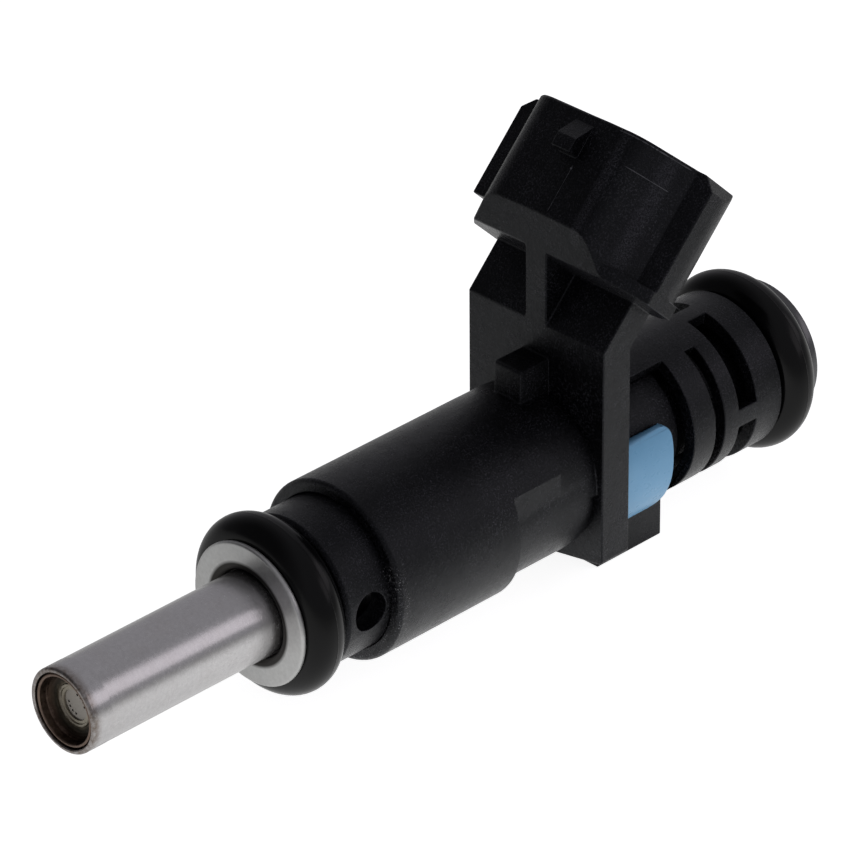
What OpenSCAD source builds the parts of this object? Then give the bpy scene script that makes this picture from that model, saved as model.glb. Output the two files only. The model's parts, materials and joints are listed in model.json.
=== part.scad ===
// Port fuel injector. X is the injector's axis, the nozzle points to -X and the inlet to +X.
// The origin is on the axis in the middle plane of the lower seal ring. +Z is the plug's side.

/* [Nozzle] */
// Outer radius of the nozzle tube
tube_r = 3.45; // [3.3:0.05:3.6]
// Wall of the nozzle tube
tube_wall = 0.4; // [0.3:0.05:0.45]
// Distance from the lower seal to the nozzle's end
tip_len = 20.77; // [20:0.1:24]
// Number of spray holes
spray_holes = 8; // [4:2:12]
// Radius of one spray hole
spray_hole_r = 0.1; // [0.08:0.01:0.14]
// Radius of the valve ball
ball_r = 1.3; // [1.2:0.05:1.35]

/* [Seals] */
// Section radius of both seal rings
seal_section_r = 1.765; // [1.7:0.005:1.8]
// Radius to the middle of the lower ring's section
lower_seal_mid_r = 5.55; // [5.5:0.01:5.6]
// Radius to the middle of the upper ring's section
upper_seal_mid_r = 5.74; // [5.7:0.01:5.78]
// Distance between the two rings
seal_spacing = 51.4; // [51:0.1:51.6]

/* [Body] */
// Radius of the moulded body
body_r = 7.39; // [7.3:0.01:7.5]
// Radius of the neck in front of the body
neck_r = 6.3; // [6.2:0.05:6.4]
// Diameter of the cross hole in the neck
cross_hole_d = 3.1; // [2.5:0.1:3.2]
// Half width of the flange plate
plate_half_w = 7.2; // [7:0.1:7.4]
// Thickness of the flange plate
plate_t = 2.99; // [2.8:0.01:3.1]
// Depth of the key below the axis
key_depth = 8.9; // [8.6:0.1:9.2]

/* [Plug] */
// Lean of the plug's axis from upright, towards the inlet
plug_lean = 44; // [42:0.5:46]
// Half width of the plug over its wings
wing_half_w = 9.98; // [9.8:0.02:10]
// Half width of the socket
socket_half_w = 7; // [6.6:0.1:7.1]
// Distance between the two terminals
terminal_pitch = 6; // [5.8:0.1:6.2]
// Width of a terminal blade
terminal_w = 1.5; // [1.2:0.1:1.6]
// Thickness of a terminal blade
terminal_t = 0.64; // [0.5:0.02:0.8]

/* [Rear sleeve] */
// Outer radius of the slotted sleeve
cage_r = 6.55; // [6.5:0.01:6.6]
// Wall of the slotted sleeve
cage_wall = 1.1; // [1:0.05:1.2]

/* [Valve] */
// Travel of the armature, needle and ball
lift = 0.1; // [0.06:0.01:0.12]
// Radius of the armature
armature_r = 3.3; // [3.28:0.01:3.31]
// Turns of the return spring
spring_turns = 7; // [5:1:9]

/* [Hidden] */

$fn = 96;
slip = 0.02;      // gap between pieces that are pressed or moulded together
far = 60;         // longer than any piece, for cutters

// stations along X
tip_x = -tip_len;
retainer_x = -2.28;
retainer_rear_x = 1.85;
tube_step_x = retainer_x - 0.07;
tube_rear_x = 3.4;
neck_x0 = 2.0;
hole_x = 4.4;
body_x0 = 6.4;
step_x = 19.3;
flat_end_x = 24.4;
plate_x0 = 28.24;
plate_x1 = plate_x0 + plate_t;
cage_x1 = 49.35;
cut_r = 12;       // beyond the sleeve, for sector cutters
washer_x0 = seal_spacing + 1.8;
inlet_x1 = 54.5;

// the valve
tube_bore = tube_r - tube_wall;
tube_rear_r = tube_r - 0.25;
disc_r = 1.43;
seat_x0 = tip_x + 2.05;
seat_x1 = seat_x0 + 1.8;
seat_apex_x = seat_x0 + 0.2;
seat_gap = 0.04;
ball_x = seat_apex_x + ball_r * sqrt(2) + seat_gap;
guide_t = 0.75;
needle_r = 1.0;
needle_bore = 0.62;
armature_x0 = 4.0;
armature_x1 = 11.0;
pole_x = armature_x1 + lift + 0.06;
valve_bore = armature_r + 0.04;
carrier_r = 4.6;
carrier_rear_r = 4.0;
carrier_x1 = 12.0;
shell_x1 = 15.5;
pole_r = 3.3;
pole_bore = 1.9;
spring_x0 = 6.2;
spring_x1 = 17.2;
spring_mid_r = 1.35;
spring_wire_r = 0.2;

// the round body behind its step: its reduced radius, and the outline between two angles from the top
low_r = 6.68;
full_a = 26;
low_a = 90;
reach_high = body_r + 0.06;
reach_low = low_r - 0.08;

// the coil
coil_x0 = 9.2;
coil_x1 = 19.0;
flange_t = 0.7;
spool_r0 = 4.05;
spool_r1 = 4.4;
spool_flange_r = 5.65;
can_r0 = 5.75;
can_r1 = 6.3;
can_x0 = 8.6;
can_x1 = 19.7;

// the inlet
inlet_r = 3.95;
inlet_bore = 3.0;
inlet_lip_r = 5.82;
lip_t = 0.9;
collar_x = 50.4;
filter_x = 41.5;
collar_bore = 2.3;

// the plug's own frame: X runs to the back of the plug, Z along its axis to the rim
plug_x = 23.6;
floor_w = 16.95;
socket_floor_w = 19.0;
rim_w = 27.75;
wing_w = 19.1;
front_v = -12.15;
wing_v = -7.48;
back_v = -2.2;
inner_v = -4;
slab_v0 = -5.5;
slab_v1 = -2.85;
slab_mid_v = (slab_v0 + slab_v1) / 2;
socket_v0 = -10.85;
socket_v1 = -3.5;
side_half_w = 8.4;
corner_v = front_v + 2.4;
corner_y = 3.9;
corner_r = 2.35;

// the terminals: leads beside the inlet tube, up through the plate, then blades in the socket
lead_z = 4.35;
lead_x = (plate_x0 + plate_x1) / 2;
shelf_w = 18.0;
blade_v = -7.2;
blade_w1 = 25.5;
post_w = 0.5;

// the moulded core under the slotted sleeve
core_r = 5.25;
core_rear_r = 4.5;
core_step_x = 38.8;
core_x1 = cage_x1 - 1.65;

// a point of the plug's frame (v back, w up) in the injector's XZ plane
function plug_xz(v, w) = [plug_x + v * cos(plug_lean) + w * sin(plug_lean),
                          w * cos(plug_lean) - v * sin(plug_lean)];

// how far up the plug's frame the line at v crosses the station x
function w_at(v, x) = (x - plug_x - v * cos(plug_lean)) / sin(plug_lean);

// an arc of n steps about (cx, cy)
function arc(cx, cy, r, a0, a1, n) =
    [for (i = [0:n]) [cx + r * cos(a0 + (a1 - a0) * i / n), cy + r * sin(a0 + (a1 - a0) * i / n)]];

// the points of one half outline, followed by their mirror image in the X axis
function both_sides(half) =
    concat(half, [for (i = [len(half) - 1:-1:0]) [half[i][0], -half[i][1]]]);

// turns a profile drawn as (station, radius) about the X axis
module turned(points) {
    rotate([0, 90, 0]) rotate_extrude() polygon([for (p = points) [p[1], p[0]]]);
}

// a plain tube or rod along X
module rod(x0, x1, r) {
    translate([x0, 0, 0]) rotate([0, 90, 0]) cylinder(h = x1 - x0, r = r);
}

module tube(x0, x1, r_out, r_in) {
    difference() {
        rod(x0, x1, r_out);
        rod(x0 - 1, x1 + 1, r_in);
    }
}

// an extrusion across Y of an outline drawn in the XZ plane
module across(width, y = 0) {
    translate([0, y + width / 2, 0]) rotate([90, 0, 0]) linear_extrude(width) children();
}

module seal_ring(x, mid_r) {
    translate([x, 0, 0]) rotate([0, 90, 0])
        rotate_extrude() translate([mid_r, 0]) circle(r = seal_section_r, $fn = 48);
}

// ---- the nozzle ----

module nozzle_tube() {
    rim = 0.25;
    color("silver") turned(concat(
        [[tip_x + 0.08, tube_bore], [tip_x, tube_bore + 0.08]],
        arc(tip_x + rim, tube_r - rim, rim, 180, 90, 6),
        [[tube_step_x, tube_r], [tube_step_x, tube_rear_r], [tube_rear_x, tube_rear_r],
         [tube_rear_x, tube_rear_r - tube_wall], [tube_step_x - 0.6, tube_rear_r - tube_wall],
         [tube_step_x - 0.8, tube_bore]]
    ));
}

// a bowl with a rolled lip and a bead round its floor; the disc sits in a pocket behind it
module orifice_cup() {
    lip_r = 0.14;
    outer_r = 2.95;
    wall_r = tube_bore - slip;
    bowl_r = 2.62;
    floor_r = 1.75;
    color("peru") translate([tip_x, 0, 0]) turned(concat(
        [[0.9, wall_r], [0.8, outer_r]],
        arc(0.28, outer_r - lip_r, lip_r, 90, 270, 8),
        [for (a = [0:15:90]) [0.56 + 0.7 * sin(a), floor_r + (bowl_r - floor_r) * cos(a)]],
        [[1.19, floor_r - 0.06], [1.19, 1.52], [1.29, 1.47], [1.29, 1.25], [1.41, 1.25],
         [1.41, disc_r + slip], [2, disc_r + slip], [2, wall_r]]
    ));
}

module orifice_plate() {
    x0 = tip_x + 1.41 + slip;
    plate_thick = 0.18;
    circle_r = 0.85;
    hole_step = 25.5;
    arc_a = 45;
    color("gainsboro") difference() {
        rod(x0, x0 + plate_thick, disc_r);
        // two facing arcs of holes, on a slant across the disc
        for (side = [0, 180])
            for (i = [0:spray_holes / 2 - 1])
                rotate([side + arc_a + (i - (spray_holes / 2 - 1) / 2) * hole_step, 0, 0])
                    translate([x0 - 1, 0, circle_r]) rotate([0, 90, 0])
                        cylinder(h = 3, r = spray_hole_r, $fn = 24);
    }
}

module valve_seat() {
    apex_r = 0.45;
    color("lightgray") turned([
        [seat_x0, apex_r], [seat_x0, tube_bore - slip], [seat_x1, tube_bore - slip],
        [seat_x1, seat_x1 - seat_apex_x], [seat_apex_x + apex_r, apex_r]
    ]);
}

module ball_guide() {
    x0 = seat_x1 + slip;
    color("darkgray") difference() {
        tube(x0, x0 + guide_t, tube_bore - slip, ball_r + 0.04);
        for (i = [0:4])
            rotate([i * 72, 0, 0]) translate([x0 - 1, 0, 2.15]) rotate([0, 90, 0])
                cylinder(h = guide_t + 2, r = 0.42, $fn = 24);
    }
}

module valve_ball() {
    color("whitesmoke") translate([ball_x, 0, 0]) sphere(r = ball_r, $fn = 64);
}

module needle_tube() {
    rear_x = armature_x0 + 2.2;
    weld_r = ball_r + slip;
    port_x = ball_x + 3.2;
    port_step = 1.5;
    port_r = 0.3;
    color("silver") difference() {
        // the front end is shaped to sit on the ball
        turned(concat(
            arc(ball_x, 0, weld_r, asin(needle_bore / weld_r), asin(needle_r / weld_r), 3),
            [[rear_x, needle_r], [rear_x, needle_bore]]
        ));
        // two cross ports, one behind the other
        for (i = [0, 1])
            translate([port_x + i * port_step, 0, 0]) rotate([i * 90, 0, 0])
                cylinder(h = 4, r = port_r, center = true, $fn = 24);
    }
}

module armature() {
    seat_r = 1.6;
    color("slategray") difference() {
        turned([
            [armature_x0, needle_r], [armature_x0, armature_r - 0.3], [armature_x0 + 0.3, armature_r],
            [armature_x1 - 0.2, armature_r], [armature_x1, armature_r - 0.2],
            [armature_x1, seat_r + slip], [spring_x0, seat_r + slip], [spring_x0, needle_r]
        ]);
        // fuel grooves along the sides
        for (i = [0:3])
            rotate([45 + i * 90, 0, 0]) translate([armature_x0 - 1, -0.4, armature_r - 0.45])
                cube([armature_x1 - armature_x0 + 2, 0.8, 2]);
    }
}

// a round wire wound in a helix from the armature's seat to the adjusting tube
module return_spring() {
    pitch = (spring_x1 - spring_x0 - slip - 2 * spring_wire_r) / spring_turns;
    steps = 14;
    sides = 6;
    count = spring_turns * steps;
    points = [for (i = [0:count]) for (j = [0:sides - 1])
        let (turn = i * 360 / steps,
             r = spring_mid_r + spring_wire_r * cos(j * 360 / sides),
             rise = spring_wire_r * (1 + sin(j * 360 / sides)) + pitch * i / steps)
        [spring_x0 + slip + rise, r * cos(turn), r * sin(turn)]];
    skin = [for (i = [0:count - 1]) for (j = [0:sides - 1])
        [i * sides + j, i * sides + (j + 1) % sides,
         (i + 1) * sides + (j + 1) % sides, (i + 1) * sides + j]];
    caps = [[for (j = [sides - 1:-1:0]) j], [for (j = [0:sides - 1]) count * sides + j]];
    color("gold") polyhedron(points, concat(skin, caps), convexity = 10);
}

module adjusting_tube() {
    color("burlywood") difference() {
        tube(spring_x1 + 0.05, spring_x1 + 8, pole_bore - slip, 1.2);
        translate([spring_x1 - 1, -0.25, 0]) cube([10, 0.5, 4]);
    }
}

// ---- the valve's carrier and the seals ----

module valve_body() {
    groove_w = 3.4;
    groove_r = 3.95;
    color("lightsteelblue") turned([
        [retainer_rear_x + 0.1, tube_rear_r + slip], [retainer_rear_x + 0.1, carrier_r - 0.2],
        [retainer_rear_x + 0.3, carrier_r],
        // a groove under the neck's cross hole
        [hole_x - groove_w / 2, carrier_r], [hole_x - groove_w / 2, groove_r],
        [hole_x + groove_w / 2, groove_r], [hole_x + groove_w / 2, carrier_r],
        [can_x0 - 0.1, carrier_r], [can_x0 - 0.1, carrier_rear_r], [carrier_x1, carrier_rear_r],
        [carrier_x1, valve_bore], [tube_rear_x + slip, valve_bore], [tube_rear_x + slip, tube_rear_r + slip]
    ]);
}

module nonmagnetic_shell() {
    color("darkkhaki") tube(carrier_x1 + slip, shell_x1, carrier_rear_r, pole_r + slip);
}

// a sleeve whose front end is flared into the ring that holds the lower seal
module seal_retainer() {
    sleeve_r = lower_seal_mid_r - seal_section_r - slip;
    bore = tube_rear_r + slip;
    mouth_r = tube_r + 0.05;
    bend = 0.55;
    mouth_x = retainer_x + bend;
    edge = 0.2;
    ring_r = 5.85;
    ring_t = 0.5;
    color("silver") turned(concat(
        [[mouth_x + 0.1, bore], [mouth_x + 0.1, mouth_r]],
        arc(mouth_x, mouth_r + bend, bend, 270, 180, 6),
        arc(retainer_x + edge, ring_r - edge, edge, 180, 90, 4),
        arc(retainer_x + ring_t - edge, ring_r - edge, edge, 90, 0, 4),
        [[retainer_x + ring_t, sleeve_r], [retainer_rear_x, sleeve_r], [retainer_rear_x, bore]]
    ));
}

module lower_o_ring() {
    color([0.08, 0.08, 0.08]) seal_ring(0, lower_seal_mid_r);
}

module upper_o_ring() {
    color([0.08, 0.08, 0.08]) seal_ring(seal_spacing, upper_seal_mid_r);
}

// ---- the moulded housings ----

module front_housing() {
    color([0.13, 0.13, 0.14]) difference() {
        turned([
            [neck_x0, carrier_r + slip], [neck_x0, neck_r - 0.3], [neck_x0 + 0.3, neck_r],
            [can_x0 - slip, neck_r], [can_x0 - slip, carrier_r + slip]
        ]);
        translate([hole_x, 0, 0]) rotate([90, 0, 0])
            cylinder(h = far, d = cross_hole_d, center = true, $fn = 48);
    }
}

// a cylinder of radius r from the step to the plate, rounded in where it meets the plate
module rounded_rear(r) {
    round_x = 1.6;
    round_r = 0.45;
    turned(concat(
        [[step_x - 1, 0.01], [step_x - 1, r]],
        [for (a = [0:15:90]) [plate_x0 - round_x * (1 - sin(a)), r - round_r * (1 - cos(a))]],
        [[plate_x0 + 1, r - round_r], [plate_x0 + 1, 0.01]]
    ));
}

// the body's outline seen along X at angle a from the top: full above, narrower at the sides
function body_reach(a) =
    let (t = max(0, min(1, (abs(a) - full_a) / (low_a - full_a))))
    reach_high - (reach_high - reach_low) * t * t * (3 - 2 * t);

// the round body: full behind its front edge, then reduced at the sides, with two flats
module body_barrel() {
    edge = 0.25;
    flat_y = 6.5;
    top_z = 9;
    step_a = 6;
    turned([
        [body_x0, neck_r + slip], [body_x0, body_r - edge], [body_x0 + edge, body_r],
        [step_x, body_r], [step_x, neck_r + slip]
    ]);
    rounded_rear(low_r);
    intersection() {
        rounded_rear(body_r);
        union() {
            translate([step_x - 0.5, -flat_y, 0])
                cube([flat_end_x - step_x + 0.5, 2 * flat_y, top_z]);
            translate([flat_end_x - 0.5, 0, 0]) rotate([90, 0, 90])
                linear_extrude(plate_x0 - flat_end_x + 1.5)
                    polygon([for (a = [-90:step_a:90]) body_reach(a) * [sin(a), cos(a)]]);
        }
    }
}

// the upright flange and its slab, which leans back into the plug
module flange_plate() {
    bend_front = plug_xz(slab_v0, w_at(slab_v0, plate_x0));
    bend_back = plug_xz(slab_v1, w_at(slab_v1, plate_x1));
    top_front = plug_xz(slab_v0, floor_w + 0.4);
    top_back = plug_xz(slab_v1, floor_w + 0.4);
    foot_z = -6.15;
    keel_z = -7.2;
    bottom_z = -9;
    top_z = 40;
    corner = 0.45;
    intersection() {
        across(2 * plate_half_w)
            polygon([[plate_x0, bottom_z], bend_front, top_front,
                     top_back, bend_back, [plate_x1, bottom_z]]);
        // seen along X: straight sides and a foot that drops towards the key
        translate([plate_x0 - 1, 0, 0]) rotate([90, 0, 90]) linear_extrude(20)
            polygon(concat(
                [[-plate_half_w, top_z]],
                arc(-plate_half_w + corner, foot_z + corner, corner, 180, 270, 5),
                [[-1, keel_z], [1, keel_z]],
                arc(plate_half_w - corner, foot_z + corner, corner, 270, 360, 5),
                [[plate_half_w, top_z]]
            ));
    }
}

module boss() {
    round_r = 0.3;
    width = 2.8;
    root_z = 5;
    top_z = 10;
    x0 = 25.15;
    across(width)
        polygon(concat([[plate_x0 + 1, root_z], [plate_x0 + 1, top_z]],
            arc(x0 + round_r, top_z - round_r, round_r, 90, 180, 4), [[x0, root_z]]));
}

// the rib that props the plug's floor on the plate's front
module rib() {
    width = 2.2;
    foot_w = 13.2;
    foot = plug_xz(slab_v0 + 0.5, foot_w);
    head = plug_xz(slab_v0 + 0.5, floor_w + 0.6);
    across(width)
        polygon([[plate_x0, 12], [plate_x0, 19.4], [plate_x0 + 1.2, 19.6], head, foot]);
}

// the key under the body: a low fin in front of the plate and a wide block behind it
module key() {
    fin_half = 1.0;
    fin_z = -7.45;
    block_half = 4.0;
    block_x1 = 38.3;
    root_z = -6;
    across(2 * fin_half)
        polygon([[23.2, root_z], [23.6, -7.2], [24.2, fin_z], [plate_x1, fin_z], [plate_x1, root_z]]);
    difference() {
        translate([plate_x1 - 0.1, -block_half, -key_depth])
            cube([block_x1 - plate_x1 + 0.1, 2 * block_half, key_depth - 3]);
        rod(plate_x1, far, cage_r + slip);
    }
}

// the plug's front outline as (v, y), from the middle to the wing
function plug_front_half() = concat(
    [[front_v, 0.01], [front_v + 0.02, 2], [front_v + 0.07, 3.6]],
    arc(corner_v, corner_y, corner_r, 180, 130, 6),
    [[wing_v, side_half_w]]
);

module plug_section() {
    polygon(both_sides(concat(plug_front_half(), [[inner_v, side_half_w]])));
}

// the back half of the plug with its wings; y_left is how far it reaches on the +Y side
module plug_back_section(y_left) {
    right_r = 3.6;
    slant = 0.25;
    left_r = min(right_r, y_left - 4.6);
    polygon(concat(
        [[wing_v - slant, -side_half_w + 0.1], [wing_v + slant, -wing_half_w]],
        arc(back_v - right_r, -wing_half_w + right_r, right_r, 270, 360, 10),
        arc(back_v - left_r, y_left - left_r, left_r, 0, 90, 10),
        [[wing_v, y_left]]
    ));
}

// the full-width foot of the plug on the -Y side, under the recessed side panel
module plug_foot_section() {
    polygon([[-10.2, -6.5], [-9.3, -8.2], [wing_v, -wing_half_w], [inner_v, -wing_half_w],
             [inner_v, -4], [-10.2, -4]]);
}

module socket_section() {
    r = 2.2;
    polygon(both_sides(concat(
        [[socket_v0, 0.01], [socket_v0, 3.4], [socket_v0 + 0.5, 4.3]],
        [[wing_v - 0.42, socket_half_w - 0.35], [wing_v + 0.28, socket_half_w]],
        arc(socket_v1 - r, socket_half_w - r, r, 90, 0, 6)
    )));
}

// the latch ramp on the plug's front face
module latch_ramp() {
    out = 1.25;
    ramp_w0 = 24.2;
    crest_w = 25.3;
    ramp_w1 = 26.9;
    across(1.9)
        polygon([[front_v + 0.5, ramp_w0], [front_v - out, ramp_w0], [front_v - out, crest_w],
                 [front_v, ramp_w1], [front_v + 0.5, ramp_w1]]);
}

module plug_shell() {
    chamfer = 1.0;
    foot_w = 18.1;
    translate([plug_x, 0, 0]) rotate([0, plug_lean, 0]) difference() {
        union() {
            translate([0, 0, floor_w]) linear_extrude(rim_w - floor_w) plug_section();
            translate([0, 0, wing_w]) linear_extrude(rim_w - wing_w) plug_back_section(wing_half_w);
            translate([0, 0, floor_w]) linear_extrude(wing_w - floor_w) plug_back_section(side_half_w);
            translate([0, 0, floor_w]) linear_extrude(foot_w - floor_w) plug_foot_section();
            latch_ramp();
        }
        translate([0, 0, socket_floor_w]) linear_extrude(20) socket_section();
        // the wings' chamfered upper corners
        for (side = [-1, 1])
            translate([0, side * wing_half_w, rim_w]) rotate([45, 0, 0])
                cube([40, chamfer * sqrt(2), chamfer * sqrt(2)], center = true);
    }
}

// a bent strip from the coil to the plug; grow widens it for the channel in the housing
module terminal_path(grow) {
    t = terminal_t + 2 * grow;
    start = [can_x1 + 0.05 + terminal_t / 2, lead_z];
    elbow = [lead_x, lead_z];
    knee = plug_xz(slab_mid_v, w_at(slab_mid_v, lead_x));
    shelf_a = plug_xz(slab_mid_v, shelf_w);
    shelf_b = plug_xz(blade_v, shelf_w);
    end = plug_xz(blade_v, blade_w1 + grow);
    route = [start, elbow, knee, shelf_a, shelf_b, end];
    for (i = [0:len(route) - 2]) {
        a = route[i];
        b = route[i + 1];
        translate(a) rotate(atan2(b[1] - a[1], b[0] - a[0]))
            translate([-t / 2, -t / 2]) square([norm(b - a) + t, t]);
    }
}

module terminal(side) {
    y = side * terminal_pitch / 2;
    across(terminal_w, y) terminal_path(0);
    // the post that takes the coil's wire
    across(post_w, y) translate([coil_x1 + 0.05, lead_z - terminal_t / 2])
        square([can_x1 + 0.3 - coil_x1, terminal_t]);
}

// the moulding goes on round the inlet tube, under the slotted sleeve
module sleeve_core() {
    rod(plate_x0, core_step_x, core_r);
    rod(plate_x0, core_x1, core_rear_r);
}

module connector_housing() {
    color([0.12, 0.12, 0.13]) difference() {
        union() {
            sleeve_core();
            body_barrel();
            flange_plate();
            boss();
            rib();
            key();
            difference() {
                plug_shell();
                translate([plate_x0 - far, -far / 2, 0]) cube([far, far, far]);
            }
        }
        // room for the neck, the coil's can, the inlet tube and the sleeve
        rod(body_x0 - 1, can_x0, neck_r + slip);
        rod(can_x0 - slip, can_x1 + 0.05, can_r1 + slip);
        rod(can_x1, far, inlet_r + 0.05);
        for (side = [-1, 1])
            across(terminal_w + 2 * slip, side * terminal_pitch / 2) terminal_path(slip);
    }
}

module terminal_left() {
    color("goldenrod") terminal(1);
}

module terminal_right() {
    color("goldenrod") terminal(-1);
}

// one sector of a ring along X, from angle a0 to a1 about +X, measured from +Z towards -Y
module ring_sector(x0, x1, r, a0, a1) {
    steps = 8;
    translate([x0, 0, 0]) rotate([90, 0, 90]) linear_extrude(x1 - x0)
        polygon(concat([[0, 0]], [for (i = [0:steps])
            [-r * sin(a0 + (a1 - a0) * i / steps), r * cos(a0 + (a1 - a0) * i / steps)]]));
}

module rear_cage() {
    window_x = [plate_x1 - 1, 39.3];
    narrow_x = [41.75, 42.8];
    wide_x = [44.45, 46.45];
    window_a = [26, 142];
    slot_a = 27.5;
    bridge_a = 7;
    front_ring = 1.2;
    rear_ring = 1.6;
    color([0.13, 0.13, 0.14]) difference() {
        union() {
            tube(plate_x1 + slip, cage_x1, cage_r, cage_r - cage_wall);
            // end rings that seat the sleeve on the core and on the inlet tube
            tube(plate_x1 + slip, plate_x1 + front_ring, cage_r - 0.5, core_r + slip);
            tube(cage_x1 - rear_ring, cage_x1, cage_r - 0.5, inlet_r + slip);
        }
        for (side = [-1, 1]) {
            // the side window, the narrow slot and the two wide slots
            ring_sector(window_x[0], window_x[1], cut_r, side * window_a[0], side * window_a[1]);
            ring_sector(narrow_x[0], narrow_x[1], cut_r, side * slot_a, side * (180 - slot_a));
            ring_sector(wide_x[0], wide_x[1], cut_r, side * bridge_a, side * (90 - bridge_a));
            ring_sector(wide_x[0], wide_x[1], cut_r, side * (90 + bridge_a), side * (180 - bridge_a));
        }
    }
}

// a saddle that fills the window's lower part on both sides, from the plate rearwards
module code_insert() {
    x0 = plate_x1 + slip;
    x1 = 36.9;
    top_z = 2.7;
    foot_z = -6.1;
    top_a = 66;
    foot_a = 140;
    sag = 0.6;
    r_out = 6.62;
    top_round = 1.1;
    foot_round = 2.2;
    color([0.42, 0.62, 0.78]) intersection() {
        difference() {
            // the outside sags below the sleeve, so that it stands out at its foot
            union() {
                rod(x0, x1, r_out);
                translate([0, 0, -sag]) rod(x0, x1, r_out);
                translate([x0, -r_out, -sag]) cube([x1 - x0, 2 * r_out, sag]);
            }
            rod(x0 - 1, x1 + 1, cage_r - cage_wall + 0.1);
        }
        union() {
            ring_sector(x0, x1, cut_r, top_a, foot_a);
            ring_sector(x0, x1, cut_r, -top_a, -foot_a);
        }
        across(2 * cut_r)
            polygon(concat([[x0, foot_z], [x0, top_z]],
                arc(x1 - top_round, top_z - top_round, top_round, 90, 0, 6),
                arc(x1 - foot_round, foot_z + foot_round, foot_round, 0, -90, 6)));
    }
}

// ---- the coil ----

module coil_bobbin() {
    color("ivory") turned([
        [coil_x0, spool_r0], [coil_x0, spool_flange_r], [coil_x0 + flange_t, spool_flange_r],
        [coil_x0 + flange_t, spool_r1], [coil_x1 - flange_t, spool_r1],
        [coil_x1 - flange_t, spool_flange_r], [coil_x1, spool_flange_r], [coil_x1, spool_r0]
    ]);
}

module coil_winding() {
    x0 = coil_x0 + flange_t + slip;
    x1 = coil_x1 - flange_t - slip;
    turns = 36;
    r = spool_flange_r - 0.12;
    pitch = (x1 - x0) / turns;
    // the outer layer shows the lay of the wire as a row of shallow ridges
    color("chocolate") turned(concat(
        [[x0, spool_r1 + slip]],
        [for (i = [0:turns - 1]) for (k = [0:2]) [x0 + pitch * (i + k / 3), r - (k == 0 ? 0.08 : 0)]],
        [[x1, r - 0.08], [x1, spool_r1 + slip]]
    ));
}

module coil_housing() {
    color("dimgray") turned([
        [can_x0 + slip, carrier_rear_r + slip], [can_x0 + slip, can_r1], [can_x1, can_r1],
        [can_x1, can_r0], [coil_x0 - slip, can_r0], [coil_x0 - slip, carrier_rear_r + slip]
    ]);
}

module flux_washer() {
    color("gray") difference() {
        tube(coil_x1 + slip, can_x1, can_r0 - slip, inlet_r + slip);
        // the notches that let the terminals' posts through
        for (side = [-1, 1])
            translate([coil_x1 - 1, side * terminal_pitch / 2 - 0.6, lead_z - 0.45]) cube([3, 1.2, 4]);
    }
}

// ---- the inlet ----

module inlet_tube() {
    edge = 0.3;
    mouth = 0.7;
    bore_step_x = 29;
    color("silver") turned(concat(
        [[pole_x, pole_bore], [pole_x, pole_r], [shell_x1 + slip, pole_r],
         [shell_x1 + slip, inlet_r], [inlet_x1 - lip_t, inlet_r]],
        arc(inlet_x1 - lip_t + edge, inlet_lip_r - edge, edge, 180, 90, 4),
        arc(inlet_x1 - edge, inlet_lip_r - edge, edge, 90, 0, 4),
        [[inlet_x1, inlet_bore + mouth], [inlet_x1 - mouth, inlet_bore],
         [bore_step_x + 1, inlet_bore], [bore_step_x, pole_bore]]
    ));
}

module backup_washer() {
    color("lightgray") tube(washer_x0, inlet_x1 - lip_t - slip, 5.2, inlet_r + slip);
}

module filter_frame() {
    x0 = filter_x;
    x1 = collar_x + 0.2;
    head_t = 1.2;
    r = 1.9;
    bore = 1.3;
    window_w = 1.7;
    color("lightgreen") difference() {
        turned([
            [x0, 0.01], [x0, r - 0.5], [x0 + 0.8, r], [x1, r], [x1, collar_bore - slip],
            [x1 + head_t, collar_bore - slip], [x1 + head_t, bore], [x0 + head_t, bore],
            [x0 + head_t, 0.01]
        ]);
        for (i = [0:3])
            rotate([i * 90, 0, 0]) translate([x0 + head_t + 0.6, -window_w / 2, 0])
                cube([x1 - x0 - head_t - 1.4, window_w, 4]);
    }
}

module filter_mesh() {
    color("white") tube(filter_x + 1.5, collar_x, 1.28, 1.16);
}

module filter_collar() {
    color("goldenrod") tube(collar_x, collar_x + 1.8, inlet_bore - slip, collar_bore);
}

nozzle_tube();
orifice_cup();
orifice_plate();
valve_seat();
ball_guide();
valve_ball();
needle_tube();
armature();
return_spring();
adjusting_tube();
nonmagnetic_shell();
valve_body();
seal_retainer();
lower_o_ring();
front_housing();
coil_bobbin();
coil_winding();
coil_housing();
flux_washer();
terminal_left();
terminal_right();
connector_housing();
rear_cage();
code_insert();
inlet_tube();
upper_o_ring();
backup_washer();
filter_frame();
filter_mesh();
filter_collar();
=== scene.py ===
import json
import math
import random

import bmesh
import bpy
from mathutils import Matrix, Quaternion, Vector
from mathutils.bvhtree import BVHTree


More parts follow.
